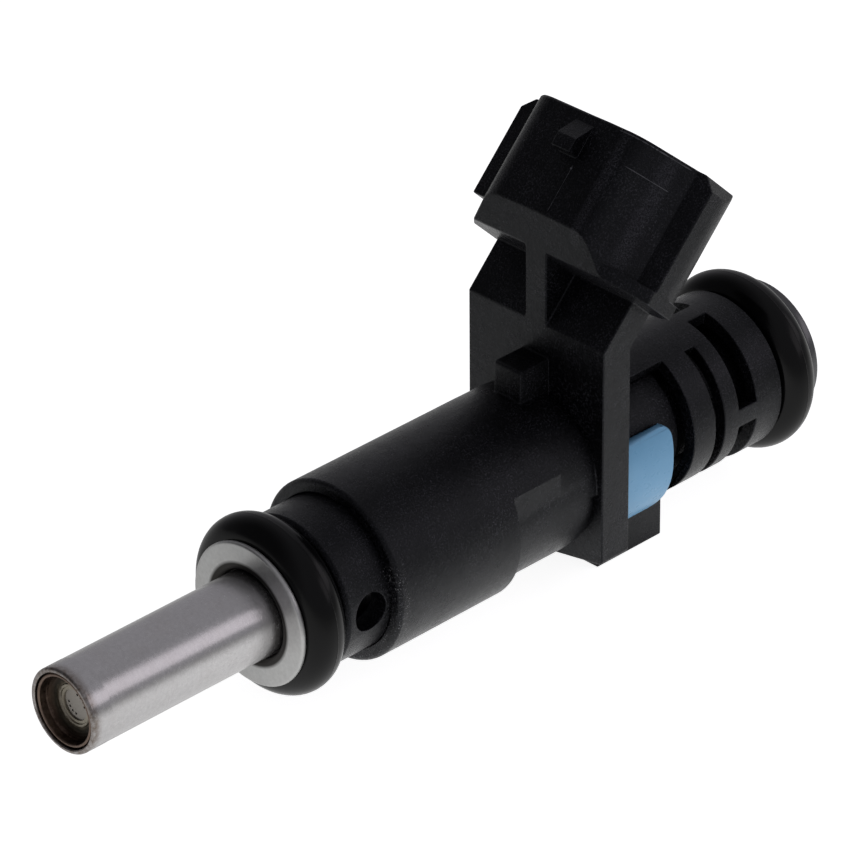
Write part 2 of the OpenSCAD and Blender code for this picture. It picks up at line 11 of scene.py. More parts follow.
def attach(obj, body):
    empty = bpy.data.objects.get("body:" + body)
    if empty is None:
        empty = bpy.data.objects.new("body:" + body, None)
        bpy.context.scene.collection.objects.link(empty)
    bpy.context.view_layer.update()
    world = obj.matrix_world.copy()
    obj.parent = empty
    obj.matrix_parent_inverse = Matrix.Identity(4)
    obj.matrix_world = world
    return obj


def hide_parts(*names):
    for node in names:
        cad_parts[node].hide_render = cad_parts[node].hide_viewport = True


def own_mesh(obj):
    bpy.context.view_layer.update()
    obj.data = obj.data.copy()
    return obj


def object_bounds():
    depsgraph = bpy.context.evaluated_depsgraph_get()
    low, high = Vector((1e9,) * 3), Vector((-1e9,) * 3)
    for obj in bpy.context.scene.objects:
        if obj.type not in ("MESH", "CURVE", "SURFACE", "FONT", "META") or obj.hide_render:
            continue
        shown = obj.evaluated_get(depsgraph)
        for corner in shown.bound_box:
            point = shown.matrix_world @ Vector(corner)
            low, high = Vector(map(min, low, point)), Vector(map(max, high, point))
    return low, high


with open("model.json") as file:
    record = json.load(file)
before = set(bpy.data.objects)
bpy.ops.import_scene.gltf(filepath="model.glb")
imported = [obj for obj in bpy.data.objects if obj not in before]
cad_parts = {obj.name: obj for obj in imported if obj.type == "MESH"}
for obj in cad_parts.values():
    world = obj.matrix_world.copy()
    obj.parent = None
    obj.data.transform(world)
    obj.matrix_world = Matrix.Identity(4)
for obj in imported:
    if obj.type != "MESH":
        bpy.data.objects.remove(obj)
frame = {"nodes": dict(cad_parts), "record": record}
cad_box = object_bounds()
nodes = frame["nodes"]

MM = 0.001

# lengths in this script are in millimetres, unless they are multiplied by MM or belong to the camera

# the plug leans back from upright by this angle, from this place on the injector's axis
PLUG_LEAN = math.radians(44)
PLUG_X = 23.6
# the middle of the plug's front to back reach, in its own leaning frame
PLUG_MIDDLE = -7.0
# a mark is dropped on the plug's skin from a point this many times as far from the middle
OUTSIDE = 1.4

# the front and rear end of the return spring
SPRING_X = (6.22, 17.2)
SPRING_TURNS = 7
SPRING_R = 1.35
SPRING_WIRE_R = 0.2

# edges that turn by more than this are rounded, in this many steps, where the faces beside them
# are at least this many times as wide as the rounding
SHARP_ANGLE = math.radians(24)
EDGE_STEPS = 3
FACE_ROOM = 2.2
# the rounding of an edge that meets one which has to stay sharp
NEARLY_SHARP = 0.02

# the moulding marks are a little ragged, from this seed
MARKS_SEED = 7

# ---------------------------------------------------------------- camera, light and floor

# the camera's place in metres and radians, and where it aims beside CAMERA_AIM
CAMERA_AZIMUTH = math.radians(-45.283)
CAMERA_ELEVATION = math.radians(31.033)
CAMERA_DISTANCE = 0.46653
CAMERA_AIM = (0.0236, 0.0, 0.0)
AIM_SHIFT = (-0.005207, 0.004755)
CAMERA_ROLL = math.radians(-0.467)
CAMERA_LENS = 257.2
SENSOR = 36.0

# the darkest and the brightest part of the room, and the way to the dark flag in it
ROOM_COLOR = (0.985, 0.97, 1.03)
ROOM_BRIGHT = 0.335
ROOM_DARK = 0.09
FLAG_TOWARD = (-0.609, 0.609, 0.508)

# the softbox: its direction, its distance and size in metres, its brightness and its tint
BOX_AZIMUTH = math.radians(-47)
BOX_ELEVATION = math.radians(24.5)
BOX_DISTANCE = 0.6
BOX_SIZE = (0.6, 0.27)
BOX_RADIANCE = 0.62
BOX_TINT = (1.0, 0.93, 0.985)

# the table: its half width in metres, its gap under the object, the glow's gap under it,
# the place beside the nozzle where it glows most and the place under the key where it glows least
TABLE_REACH = 3.0
TABLE_GAP = 0.05
GLOW_GAP = 0.2
BRIGHT_SPOT = (6.0, -16.0, 0.0)
KEY_SPOT = (35.5, 0.5, 0.0)


def camera_axes(azimuth, elevation):
    """The camera's right, up and backward directions."""
    back = Vector((
        math.sin(azimuth) * math.cos(elevation),
        -math.cos(azimuth) * math.cos(elevation),
        math.sin(elevation),
    ))
    right = Vector((math.cos(azimuth), math.sin(azimuth), 0.0))
    return right, back.cross(right), back


def make_camera():
    right, up, back = camera_axes(CAMERA_AZIMUTH, CAMERA_ELEVATION)
    place = Vector(CAMERA_AIM) + CAMERA_DISTANCE * back
    target = Vector(CAMERA_AIM) + AIM_SHIFT[0] * right + AIM_SHIFT[1] * up
    data = bpy.data.cameras.new("camera")
    data.lens = CAMERA_LENS
    data.sensor_width = SENSOR
    data.clip_start = 0.01
    data.clip_end = 20.0
    camera = bpy.data.objects.new("camera", data)
    camera.location = place
    level = (target - place).to_track_quat("-Z", "Y")
    camera.rotation_euler = (level @ Quaternion((0.0, 0.0, 1.0), CAMERA_ROLL)).to_euler()
    bpy.context.scene.collection.objects.link(camera)
    bpy.context.scene.camera = camera


def soft_light(name, azimuth, elevation, distance, size, radiance, color):
    """A rectangular softbox that faces the object from the given direction."""
    direction = Vector((
        math.cos(azimuth) * math.cos(elevation),
        math.sin(azimuth) * math.cos(elevation),
        math.sin(elevation),
    ))
    centre = (cad_box[0] + cad_box[1]) / 2
    data = bpy.data.lights.new(name, "AREA")
    data.shape = "RECTANGLE"
    data.size, data.size_y = size
    data.energy = radiance * math.pi * size[0] * size[1]
    data.color = color
    lamp = bpy.data.objects.new(name, data)
    lamp.location = centre + distance * direction
    lamp.rotation_euler = (-direction).to_track_quat("-Z", "Y").to_euler()
    bpy.context.scene.collection.objects.link(lamp)


def make_world(color, bright, dark, dark_toward):
    """A soft grey room that darkens smoothly towards one flag, in the direction dark_toward."""
    world = bpy.data.worlds.new("studio")
    world.use_nodes = True
    tree = world.node_tree
    background = tree.nodes["Background"]
    side = tree.nodes.new("ShaderNodeVectorMath")
    side.operation = "DOT_PRODUCT"
    side.inputs[1].default_value = Vector(dark_toward).normalized()
    tree.links.new(tree.nodes.new("ShaderNodeTexCoord").outputs["Generated"], side.inputs[0])
    level = tree.nodes.new("ShaderNodeMapRange")
    level.inputs["From Min"].default_value = 0.4
    level.inputs["From Max"].default_value = 0.9
    level.inputs["To Min"].default_value = bright
    level.inputs["To Max"].default_value = dark
    tree.links.new(side.outputs["Value"], level.inputs["Value"])
    tree.links.new(level.outputs["Result"], background.inputs["Strength"])
    background.inputs["Color"].default_value = (*color, 1.0)
    bpy.context.scene.world = world


def flat_sheet(name, z, material):
    """A level square sheet of the table, at the height z."""
    mesh = bpy.data.meshes.new(name)
    build = bmesh.new()
    bmesh.ops.create_grid(build, x_segments=1, y_segments=1, size=TABLE_REACH)
    build.to_mesh(mesh)
    build.free()
    mesh.materials.append(material)
    sheet = bpy.data.objects.new(name, mesh)
    sheet.location = (0.0, 0.0, z)
    bpy.context.scene.collection.objects.link(sheet)
    return sheet


def make_floor(z):
    """A plain white table that only the camera sees, over an unseen sheet that lights the object."""
    white = Graph("table_white")
    white.set(base=(0.8, 0.8, 0.8), rough=0.6, level=0.1)
    white.plug("Emission Color", (1.0, 1.0, 1.0))
    white.bsdf.inputs["Emission Strength"].default_value = 0.9
    table = flat_sheet("floor", z, white.material)
    for ray in ("diffuse", "glossy", "transmission", "shadow"):
        setattr(table, "visible_" + ray, False)

    glow = Graph("table_glow")
    glow.set(base=(0.0, 0.0, 0.0), rough=1.0, level=0.0)
    from_spot = glow.node("ShaderNodeVectorMath", operation="SUBTRACT")
    glow.feed(from_spot.inputs[0], glow.place_mm((0.4, 1.0, 1.0)))
    glow.feed(from_spot.inputs[1], BRIGHT_SPOT)
    away = glow.math("DIVIDE", glow.math("LENGTH", from_spot.outputs["Vector"], vector=True), 200.0)
    lit = glow.ramp(away, [
        (0.0, 0.98), (0.05, 0.86), (0.125, 0.68), (0.225, 0.52), (0.5, 0.40), (1.0, 0.32),
    ])
    # little light comes from where the key stands on the table
    from_key = glow.node("ShaderNodeVectorMath", operation="SUBTRACT")
    glow.feed(from_key.inputs[0], glow.place_mm((1.0, 1.0, 0.0)))
    glow.feed(from_key.inputs[1], KEY_SPOT)
    beside = glow.math("DIVIDE", glow.math("LENGTH", from_key.outputs["Vector"], vector=True), 10.0)
    shade = glow.ramp(beside, [(0.3, 0.3), (0.6, 0.75), (0.9, 1.0)])
    glow.plug("Emission Color", glow.mix(shade, (0.0, 0.0, 0.0), lit))
    glow.bsdf.inputs["Emission Strength"].default_value = 1.0
    light_sheet = flat_sheet("floor_glow", z - GLOW_GAP * MM, glow.material)
    light_sheet.visible_camera = False


# ---------------------------------------------------------------- a small helper for shader nodes

class Graph:
    """A material whose nodes are made by short calls. Positions are in millimetres of the object."""

    def __init__(self, name):
        self.material = bpy.data.materials.new(name)
        self.material.use_nodes = True
        self.tree = self.material.node_tree
        self.bsdf = self.tree.nodes["Principled BSDF"]
        self._place = None

    def node(self, kind, **settings):
        made = self.tree.nodes.new(kind)
        for key, value in settings.items():
            setattr(made, key, value)
        return made

    def feed(self, socket, value):
        """Links a socket or sets a number or colour on it."""
        if isinstance(value, bpy.types.NodeSocket):
            self.tree.links.new(value, socket)
        elif isinstance(value, (tuple, list)) and len(value) == 3 and socket.type == "RGBA":
            socket.default_value = (*value, 1.0)
        else:
            socket.default_value = value

    def plug(self, name, value):
        self.feed(self.bsdf.inputs[name], value)

    def set(self, base=None, metal=0.0, rough=0.5, level=0.5, coat=0.0, coat_rough=0.1, aniso=0.0):
        if base is not None:
            self.plug("Base Color", base)
        self.bsdf.inputs["Metallic"].default_value = metal
        self.bsdf.inputs["Roughness"].default_value = rough
        self.bsdf.inputs["Specular IOR Level"].default_value = level
        self.bsdf.inputs["Coat Weight"].default_value = coat
        self.bsdf.inputs["Coat Roughness"].default_value = coat_rough
        self.bsdf.inputs["Anisotropic"].default_value = aniso

    def place_mm(self, stretch=(1.0, 1.0, 1.0)):
        """The point on the object in millimetres, stretched along each axis."""
        if self._place is None:
            self._place = self.node("ShaderNodeTexCoord").outputs["Object"]
        scaled = self.node("ShaderNodeVectorMath", operation="MULTIPLY")
        self.feed(scaled.inputs[0], self._place)
        self.feed(scaled.inputs[1], tuple(s / MM for s in stretch))
        return scaled.outputs["Vector"]

    def noise(self, per_mm, detail=2.0, roughness=0.5, stretch=(1.0, 1.0, 1.0)):
        made = self.node("ShaderNodeTexNoise")
        self.feed(made.inputs["Vector"], self.place_mm(stretch))
        made.inputs["Scale"].default_value = per_mm
        made.inputs["Detail"].default_value = detail
        made.inputs["Roughness"].default_value = roughness
        return made.outputs["Fac"]

    def math(self, operation, a, b=None, vector=False, clamp=False):
        if vector:
            made = self.node("ShaderNodeVectorMath", operation=operation)
            self.feed(made.inputs[0], a)
            return made.outputs["Value"]
        made = self.node("ShaderNodeMath", operation=operation, use_clamp=clamp)
        self.feed(made.inputs[0], a)
        if b is not None:
            self.feed(made.inputs[1], b)
        return made.outputs["Value"]

    def axis(self, name):
        parts = self.node("ShaderNodeSeparateXYZ")
        self.feed(parts.inputs[0], self.place_mm())
        return parts.outputs[name]

    def radius(self):
        """The distance from the X axis in millimetres."""
        squares = [self.math("POWER", self.axis(k), 2.0) for k in ("Y", "Z")]
        return self.math("SQRT", self.math("ADD", squares[0], squares[1]))

    def band(self, value, low, high, soft):
        """1 between low and high, falling to 0 over soft on either side."""
        up = self.node("ShaderNodeMapRange", interpolation_type="SMOOTHSTEP")
        self.feed(up.inputs["Value"], value)
        up.inputs["From Min"].default_value = low - soft
        up.inputs["From Max"].default_value = low
        down = self.node("ShaderNodeMapRange", interpolation_type="SMOOTHSTEP")
        self.feed(down.inputs["Value"], value)
        down.inputs["From Min"].default_value = high
        down.inputs["From Max"].default_value = high + soft
        down.inputs["To Min"].default_value = 1.0
        down.inputs["To Max"].default_value = 0.0
        return self.math("MULTIPLY", up.outputs["Result"], down.outputs["Result"])

    def ramp(self, value, stops):
        """A colour ramp; a stop's value is one number or a colour."""
        made = self.node("ShaderNodeValToRGB")
        elements = made.color_ramp.elements
        while len(elements) < len(stops):
            elements.new(0.5)
        for element, (position, color) in zip(elements, stops):
            element.position = position
            shade = (color, color, color) if isinstance(color, (int, float)) else color
            element.color = (*shade, 1.0)
        self.feed(made.inputs["Fac"], value)
        return made.outputs["Color"]

    def mix(self, factor, a, b):
        made = self.node("ShaderNodeMix", data_type="RGBA")
        self.feed(made.inputs["Factor"], factor)
        self.feed(made.inputs["A"], a)
        self.feed(made.inputs["B"], b)
        return made.outputs["Result"]

    def bump(self, height, distance_mm, strength=1.0):
        """Adds a relief on top of any that is there already."""
        made = self.node("ShaderNodeBump")
        made.inputs["Strength"].default_value = strength
        made.inputs["Distance"].default_value = distance_mm * MM
        self.feed(made.inputs["Height"], height)
        if self.bsdf.inputs["Normal"].is_linked:
            self.feed(made.inputs["Normal"], self.bsdf.inputs["Normal"].links[0].from_socket)
        self.plug("Normal", made.outputs["Normal"])

    def edge(self, radius_mm):
        """Near 1 on sharp outer and inner edges, 0 on open faces."""
        bevel = self.node("ShaderNodeBevel", samples=4)
        bevel.inputs["Radius"].default_value = radius_mm * MM
        flat = self.node("ShaderNodeNewGeometry").outputs["Normal"]
        dot = self.node("ShaderNodeVectorMath", operation="DOT_PRODUCT")
        self.feed(dot.inputs[0], bevel.outputs["Normal"])
        self.feed(dot.inputs[1], flat)
        return self.math("SUBTRACT", 1.0, dot.outputs["Value"], clamp=True)


# ---------------------------------------------------------------- materials

def black_nylon(name, grain=1.0, gate=None, plug=False):
    """Glass-filled moulded nylon: near black, eroded grain, pale specks painted as fibre glints, and pale
    edges painted as wear and as edge highlights.
    """
    g = Graph(name)
    g.set(rough=0.25, level=0.23)
    g.bsdf.inputs["Specular Tint"].default_value = (0.89, 0.92, 1.0, 1.0)
    dark = (0.0005, 0.0005, 0.0008)
    light = (0.0019, 0.0019, 0.0027)
    patches = g.ramp(g.noise(0.35, 3.0), [(0.35, 0.0), (0.7, 1.0)])
    tone = g.mix(patches, dark, light)
    # painted glints: sparse pale specks in the colour stand in for light catching the glass fibres
    painted_glint = g.ramp(g.noise(6.5, 3.0, 0.8), [(0.53, 0.0), (0.63, 1.0)])
    painted_light_share = g.math("ADD", g.math("MULTIPLY", patches, 0.5), 0.2)
    tone = g.mix(g.math("MULTIPLY", painted_glint, painted_light_share), tone, (0.055, 0.054, 0.064))
    # painted highlight mixed with wear: outer and inner edges are coloured paler, as wear and as the thin
    # bright lines of edges catching light
    wear_and_edge_highlight = g.ramp(g.edge(0.07), [(0.05, 0.0), (0.22, 1.0)])
    edge_mark_breakup = g.ramp(g.noise(2.2, 4.0, 0.7), [(0.36, 0.1), (0.62, 1.0)])
    tone = g.mix(g.math("MULTIPLY", g.math("MULTIPLY", wear_and_edge_highlight, edge_mark_breakup), 0.8), tone, (0.11, 0.11, 0.125))
    if gate is not None:
        near = g.band(g.axis("X"), gate[0], gate[1], 0.3)
        specks = g.ramp(g.noise(6.0, 4.0, 0.75), [(0.58, 0.0), (0.68, 1.0)])
        side = g.band(g.axis("Z"), gate[2], gate[3], 1.0)
        rough_edge = g.math("MULTIPLY", g.math("MULTIPLY", near, specks), side)
        tone = g.mix(g.math("MULTIPLY", rough_edge, 0.8), tone, (0.26, 0.26, 0.27))
    if plug:
        tone = plug_painted_light(g, tone)
    g.plug("Base Color", tone)
    g.plug("Roughness", g.ramp(g.noise(0.9, 4.0), [(0.3, 0.19), (0.75, 0.30)]))
    g.bump(g.noise(6.0, 4.0, 0.75), 0.05 * grain)
    g.bump(g.noise(1.2, 2.0), 0.03 * grain)
    return g.material


def plug_painted_light(g, tone):
    """Painted highlights down the plug's -Y corner as speckled pale bands, and its underside painted paler as
    painted light.
    """
    x = g.math("SUBTRACT", g.axis("X"), PLUG_X)
    tilt = math.sin(PLUG_LEAN), math.cos(PLUG_LEAN)
    up = g.math("ADD", g.math("MULTIPLY", x, tilt[0]), g.math("MULTIPLY", g.axis("Z"), tilt[1]))
    back = g.math("SUBTRACT", g.math("MULTIPLY", x, tilt[1]), g.math("MULTIPLY", g.axis("Z"), tilt[0]))
    # painted highlight: speckled pale bands along the two lines where the corner's curve turns
    corner = g.math("MULTIPLY", g.band(up, 18.4, 27.7, 0.3), g.band(back, -12.5, -8.4, 0.3))
    highlight_bands = g.math("ADD", g.band(g.axis("Y"), -4.2, -3.9, 0.5), g.band(g.axis("Y"), -7.15, -6.9, 0.5))
    highlight_speck = g.ramp(g.noise(9.0, 4.0, 0.85), [(0.47, 0.0), (0.62, 1.0)])
    painted_light_share = g.math("MULTIPLY", g.math("MULTIPLY", corner, highlight_bands), g.math("MULTIPLY", highlight_speck, 0.6))
    tone = g.mix(painted_light_share, tone, (0.075, 0.074, 0.088))
    # painted light: the faces that look down the plug's lean are coloured paler, as if lit from below
    facing = g.node("ShaderNodeVectorMath", operation="DOT_PRODUCT")
    g.feed(facing.inputs[0], g.node("ShaderNodeNewGeometry").outputs["Normal"])
    g.feed(facing.inputs[1], (-tilt[0], 0.0, -tilt[1]))
    painted_light_underside = g.math("MULTIPLY", g.band(facing.outputs["Value"], 0.93, 1.5, 0.06), g.band(up, 16.0, 17.4, 0.2))
    return g.mix(painted_light_underside, tone, (0.020, 0.020, 0.023))


def seal_rubber(name, station):
    """Moulded rubber with a light film of oil, a faint flash line round its outside and some dust."""
    g = Graph(name)
    g.set(rough=0.2, level=0.2)
    dust = g.ramp(g.noise(5.0, 5.0, 0.7), [(0.62, 0.0), (0.8, 1.0)])
    g.plug("Base Color", g.mix(g.math("MULTIPLY", dust, 0.25), (0.0022, 0.0022, 0.0025), (0.02, 0.02, 0.022)))
    g.plug("Roughness", g.ramp(g.noise(0.6, 3.0), [(0.3, 0.15), (0.7, 0.26)]))
    g.bump(g.noise(3.0, 3.0), 0.006, 0.5)
    g.bump(g.band(g.axis("X"), station / MM - 0.02, station / MM + 0.02, 0.03), 0.02, 0.7)
    return g.material


def turned_steel(name, base=(0.62, 0.608, 0.614), rough=0.24, marks=1.0, stain=0.0, tip=False, soot_and_shade=None):
    """Steel turned or ground round the X axis: fine rings, a mottled lustre and faint blotches."""
    g = Graph(name)
    g.set(metal=1.0, rough=rough, aniso=0.75)
    g.bsdf.inputs["Anisotropic Rotation"].default_value = 0.25
    tangent = g.node("ShaderNodeTangent", direction_type="RADIAL", axis="X")
    g.plug("Tangent", tangent.outputs["Tangent"])
    rings = g.noise(1.0, 3.0, 0.6, stretch=(9.0, 1.1, 1.1))
    mottle = g.noise(3.2, 4.0, 0.65)
    shade = tuple(c * 0.84 for c in base)
    tone = g.mix(g.ramp(mottle, [(0.3, 0.0), (0.7, 1.0)]), shade, base)
    if stain > 0.0:
        blotch = g.ramp(g.noise(0.5, 4.0, 0.6), [(0.45, 0.0), (0.75, 1.0)])
        tone = g.mix(g.math("MULTIPLY", blotch, stain), tone, (0.30, 0.22, 0.16))
    if tip:
        scorch = g.band(g.axis("X"), -22.0, -20.62, 0.9)
        rough_rim = g.ramp(g.noise(2.5, 5.0, 0.7), [(0.3, 0.3), (0.65, 1.0)])
        tone = g.mix(g.math("MULTIPLY", scorch, rough_rim), tone, (0.19, 0.155, 0.13))
    # painted shade mixed with soot: darker close to the tube, in the recess of the retainer's mouth
    if soot_and_shade is not None:
        near_tube = g.ramp(g.math("DIVIDE", g.radius(), soot_and_shade[1]), [(soot_and_shade[0] / soot_and_shade[1], 1.0), (1.0, 0.0)])
        tone = g.mix(near_tube, tone, (0.03, 0.028, 0.026))
    g.plug("Base Color", tone)
    grey = g.math("ADD", g.math("MULTIPLY", rings, 0.12), g.math("MULTIPLY", mottle, 0.14))
    g.plug("Roughness", g.math("ADD", grey, rough - 0.13))
    g.bump(rings, 0.004 * marks, 0.8)
    g.bump(g.noise(9.0, 3.0, 0.6), 0.0025 * marks, 0.8)
    return g.material


def heat_tint(name):
    """Weld-tinted steel: straw to brown to dark, in rings that follow the distance from the axis."""
    g = Graph(name)
    g.set(metal=1.0, rough=0.34)
    wobble = g.math("MULTIPLY", g.noise(1.6, 4.0, 0.6), 0.5)
    outward = g.math("DIVIDE", g.math("ADD", g.radius(), wobble), 3.6)
    tint = g.ramp(outward, [
        (0.50, (0.36, 0.33, 0.27)), (0.565, (0.075, 0.062, 0.045)), (0.64, (0.024, 0.021, 0.016)),
        (0.76, (0.045, 0.03, 0.022)), (0.83, (0.20, 0.145, 0.115)),
    ])
    g.plug("Base Color", tint)
    g.plug("Roughness", g.ramp(g.noise(4.0, 4.0), [(0.3, 0.26), (0.7, 0.5)]))
    g.bump(g.noise(8.0, 4.0, 0.6), 0.006)
    return g.material


def rolled_steel(name, base):
    """Thin sheet steel, dull and finely pitted."""
    g = Graph(name)
    g.set(metal=1.0, rough=0.45)
    grain = g.noise(9.0, 4.0, 0.7)
    g.plug("Base Color", g.mix(grain, tuple(c * 0.7 for c in base), base))
    g.plug("Roughness", g.ramp(grain, [(0.3, 0.38), (0.7, 0.6)]))
    g.bump(grain, 0.008)
    return g.material


def bright_metal(name, base, rough):
    """Polished, plated or drawn metal with faint drawing lines."""
    g = Graph(name)
    g.set(metal=1.0, rough=rough)
    lines = g.noise(1.0, 3.0, stretch=(2.0, 8.0, 2.0))
    g.plug("Base Color", g.mix(lines, tuple(c * 0.85 for c in base), base))
    g.plug("Roughness", g.math("ADD", g.math("MULTIPLY", lines, 0.15), rough - 0.06))
    g.bump(lines, 0.002)
    return g.material


def copper_enamel(name):
    """Enamelled copper wire, its copper tone varying at random, with a fine ridged relief round the axis."""
    g = Graph(name)
    g.set(metal=1.0, rough=0.28, coat=0.6, coat_rough=0.12)
    g.plug("Base Color", g.ramp(g.noise(2.0, 3.0), [(0.3, (0.45, 0.17, 0.07)), (0.7, (0.68, 0.30, 0.13))]))
    g.bump(g.noise(1.0, 1.0, stretch=(9.0, 1.0, 1.0)), 0.01)
    return g.material


def moulded_plastic(name, base, dark, rough=0.42):
    """Unfilled moulded plastic with a satin skin and a soft mottle."""
    g = Graph(name)
    g.set(rough=rough, level=0.45)
    g.plug("Base Color", g.mix(g.ramp(g.noise(0.5, 3.0), [(0.3, 0.0), (0.75, 1.0)]), base, dark))
    g.plug("Roughness", g.ramp(g.noise(1.8, 3.0), [(0.3, rough - 0.05), (0.7, rough + 0.08)]))
    g.bump(g.noise(6.0, 3.0, 0.6), 0.006, 0.8)
    return g.material


def woven_screen(name):
    """The filter's fine screen: threads round the tube, a little uneven."""
    g = Graph(name)
    g.set(base=(0.62, 0.66, 0.6), rough=0.5)
    wave = g.node("ShaderNodeTexWave", wave_type="BANDS", bands_direction="X")
    g.feed(wave.inputs["Vector"], g.place_mm())
    wave.inputs["Scale"].default_value = 1.6
    g.bump(wave.outputs["Fac"], 0.03)
    g.bump(g.noise(7.0, 2.0), 0.02)
    return g.material


def dress(slot_materials):
    """Gives each CAD node the material made for its own slot, or for the node itself."""
    for row in frame["record"]["subparts"]:
        material = slot_materials.get(row["node"]) or slot_materials[row["material_slot"]]
        for index in range(max(1, len(nodes[row["node"]].data.materials))):
            nodes[row["node"]].material_slots[index].material = material


# ---------------------------------------------------------------- moulded pieces with real edge rounding

def room_beside(edge):
    """How far the narrower of an edge's two faces reaches away from the edge."""
    start = edge.verts[0].co
    edge_way = (edge.verts[1].co - start).normalized()
    widths = []
    for face in edge.link_faces:
        offsets = (v.co - start for v in face.verts)
        widths.append(max((d - d.dot(edge_way) * edge_way).length for d in offsets))
    return min(widths)


def softened(node, body, material, width_mm, wide=None, sharp_at=None):
    """The CAD node's own shape with its sharp edges rounded, as a moulding or pressing has them.

    wide = (test, factor): edges whose middle passes the test are rounded that much more.
    sharp_at = test: edges whose middle passes the test stay as they are.
    """
    build = bmesh.new()
    build.from_mesh(nodes[node].data)
    bmesh.ops.remove_doubles(build, verts=build.verts, dist=2e-6)
    bmesh.ops.dissolve_limit(
        build, angle_limit=math.radians(0.8), verts=build.verts, edges=build.edges
    )
    factor = wide[1] if wide else 1.0
    weight = build.edges.layers.float.new("bevel_weight_edge")
    for edge in build.edges:
        if len(edge.link_faces) != 2 or edge.calc_face_angle() < SHARP_ANGLE:
            continue
        room = room_beside(edge) / MM
        middle = (edge.verts[0].co + edge.verts[1].co) / (2 * MM)
        if sharp_at and sharp_at(middle):
            continue
        if wide and wide[0](middle) and room > FACE_ROOM * width_mm * factor:
            edge[weight] = 1.0
        elif room > FACE_ROOM * width_mm:
            edge[weight] = 1.0 / factor
    # an edge is left nearly sharp where it meets a sharp one that has no room
    for vert in build.verts:
        sharp = [e for e in vert.link_edges if len(e.link_faces) == 2
                 and e.calc_face_angle() > SHARP_ANGLE]
        if any(e[weight] == 0.0 for e in sharp) and len(sharp) > 2:
            for edge in sharp:
                edge[weight] = min(edge[weight], NEARLY_SHARP / (width_mm * factor))
    mesh = bpy.data.meshes.new(node + "_moulded")
    build.to_mesh(mesh)
    build.free()
    mesh.materials.clear()
    mesh.materials.append(material)
    mesh.polygons.foreach_set("use_smooth", [True] * len(mesh.polygons))
    piece = bpy.data.objects.new(node + "_moulded", mesh)
    bpy.context.scene.collection.objects.link(piece)
    bevel = piece.modifiers.new("rounded_edges", "BEVEL")
    bevel.width = width_mm * factor * MM
    bevel.segments = EDGE_STEPS
    bevel.limit_method = "WEIGHT"
    bevel.use_clamp_overlap = False
    bevel.miter_outer = "MITER_ARC"
    evaluated = piece.evaluated_get(bpy.context.evaluated_depsgraph_get())
    rounded = bpy.data.meshes.new_from_object(evaluated)
    piece.modifiers.remove(bevel)
    piece.data = rounded
    # a rounded corner stays inside the CAD node's own box
    corners = [Vector(c) for c in nodes[node].bound_box]
    low = [min(c[k] for c in corners) for k in range(3)]
    high = [max(c[k] for c in corners) for k in range(3)]
    for vert in rounded.vertices:
        vert.co = [min(max(c, low[k]), high[k]) for k, c in enumerate(vert.co)]
    weighted = piece.modifiers.new("even_faces", "WEIGHTED_NORMAL")
    weighted.weight = 90
    weighted.keep_sharp = False
    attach(piece, body)
    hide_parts(node)


# ---------------------------------------------------------------- small turned and drawn pieces

def plug_point(v, y, w):
    """A point given in the plug's own leaning frame, in metres of the row's frame."""
    return Vector((
        PLUG_X + v * math.cos(PLUG_LEAN) + w * math.sin(PLUG_LEAN), y,
        w * math.cos(PLUG_LEAN) - v * math.sin(PLUG_LEAN),
    )) * MM


def mesh_piece(name, points, faces, material, body):
    """A closed mesh from points and faces, as a piece that rides a body."""
    mesh = bpy.data.meshes.new(name)
    mesh.from_pydata([tuple(p) for p in points], [], faces)
    build = bmesh.new()
    build.from_mesh(mesh)
    bmesh.ops.recalc_face_normals(build, faces=build.faces)
    build.to_mesh(mesh)
    build.free()
    mesh.materials.append(material)
    mesh.polygons.foreach_set("use_smooth", [True] * len(mesh.polygons))
    piece = bpy.data.objects.new(name, mesh)
    bpy.context.scene.collection.objects.link(piece)
    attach(piece, body)
    return piece


def turned(name, profile, material, body, around=160):
    """A closed ring turned round the X axis from (x, r) points in millimetres."""
    points, faces = [], []
    count = len(profile)
    for step in range(around):
        turn = 2 * math.pi * step / around
        points += [Vector((x, r * math.sin(turn), r * math.cos(turn))) * MM for x, r in profile]
        after = (step + 1) % around
        for k in range(count):
            nxt = (k + 1) % count
            faces.append((step * count + k, after * count + k, after * count + nxt, step * count + nxt))
    piece = mesh_piece(name, points, faces, material, body)
    piece.data.set_sharp_from_angle(angle=math.radians(35))
    return piece


def spring(name, x0, x1, turns, mid_r, wire_r, material, body, slot, steps=36, sides=12):
    """A coil spring of round wire along the X axis, from its front end x0 to its rear end x1."""
    points, faces = [], []
    rows = turns * steps
    pitch = (x1 - x0 - 2 * wire_r) / turns
    for i in range(rows + 1):
        turn = 2 * math.pi * i / steps
        for j in range(sides):
            around = 2 * math.pi * j / sides
            r = mid_r + wire_r * math.cos(around)
            x = x0 + wire_r * (1 + math.sin(around)) + pitch * i / steps
            points.append(Vector((x, r * math.cos(turn), r * math.sin(turn))) * MM)
    for i in range(rows):
        for j in range(sides):
            nxt = (j + 1) % sides
            faces.append((i * sides + j, i * sides + nxt, (i + 1) * sides + nxt, (i + 1) * sides + j))
    faces.append(tuple(range(sides - 1, -1, -1)))
    faces.append(tuple(rows * sides + j for j in range(sides)))
    return mesh_piece(name, points, faces, material, body)


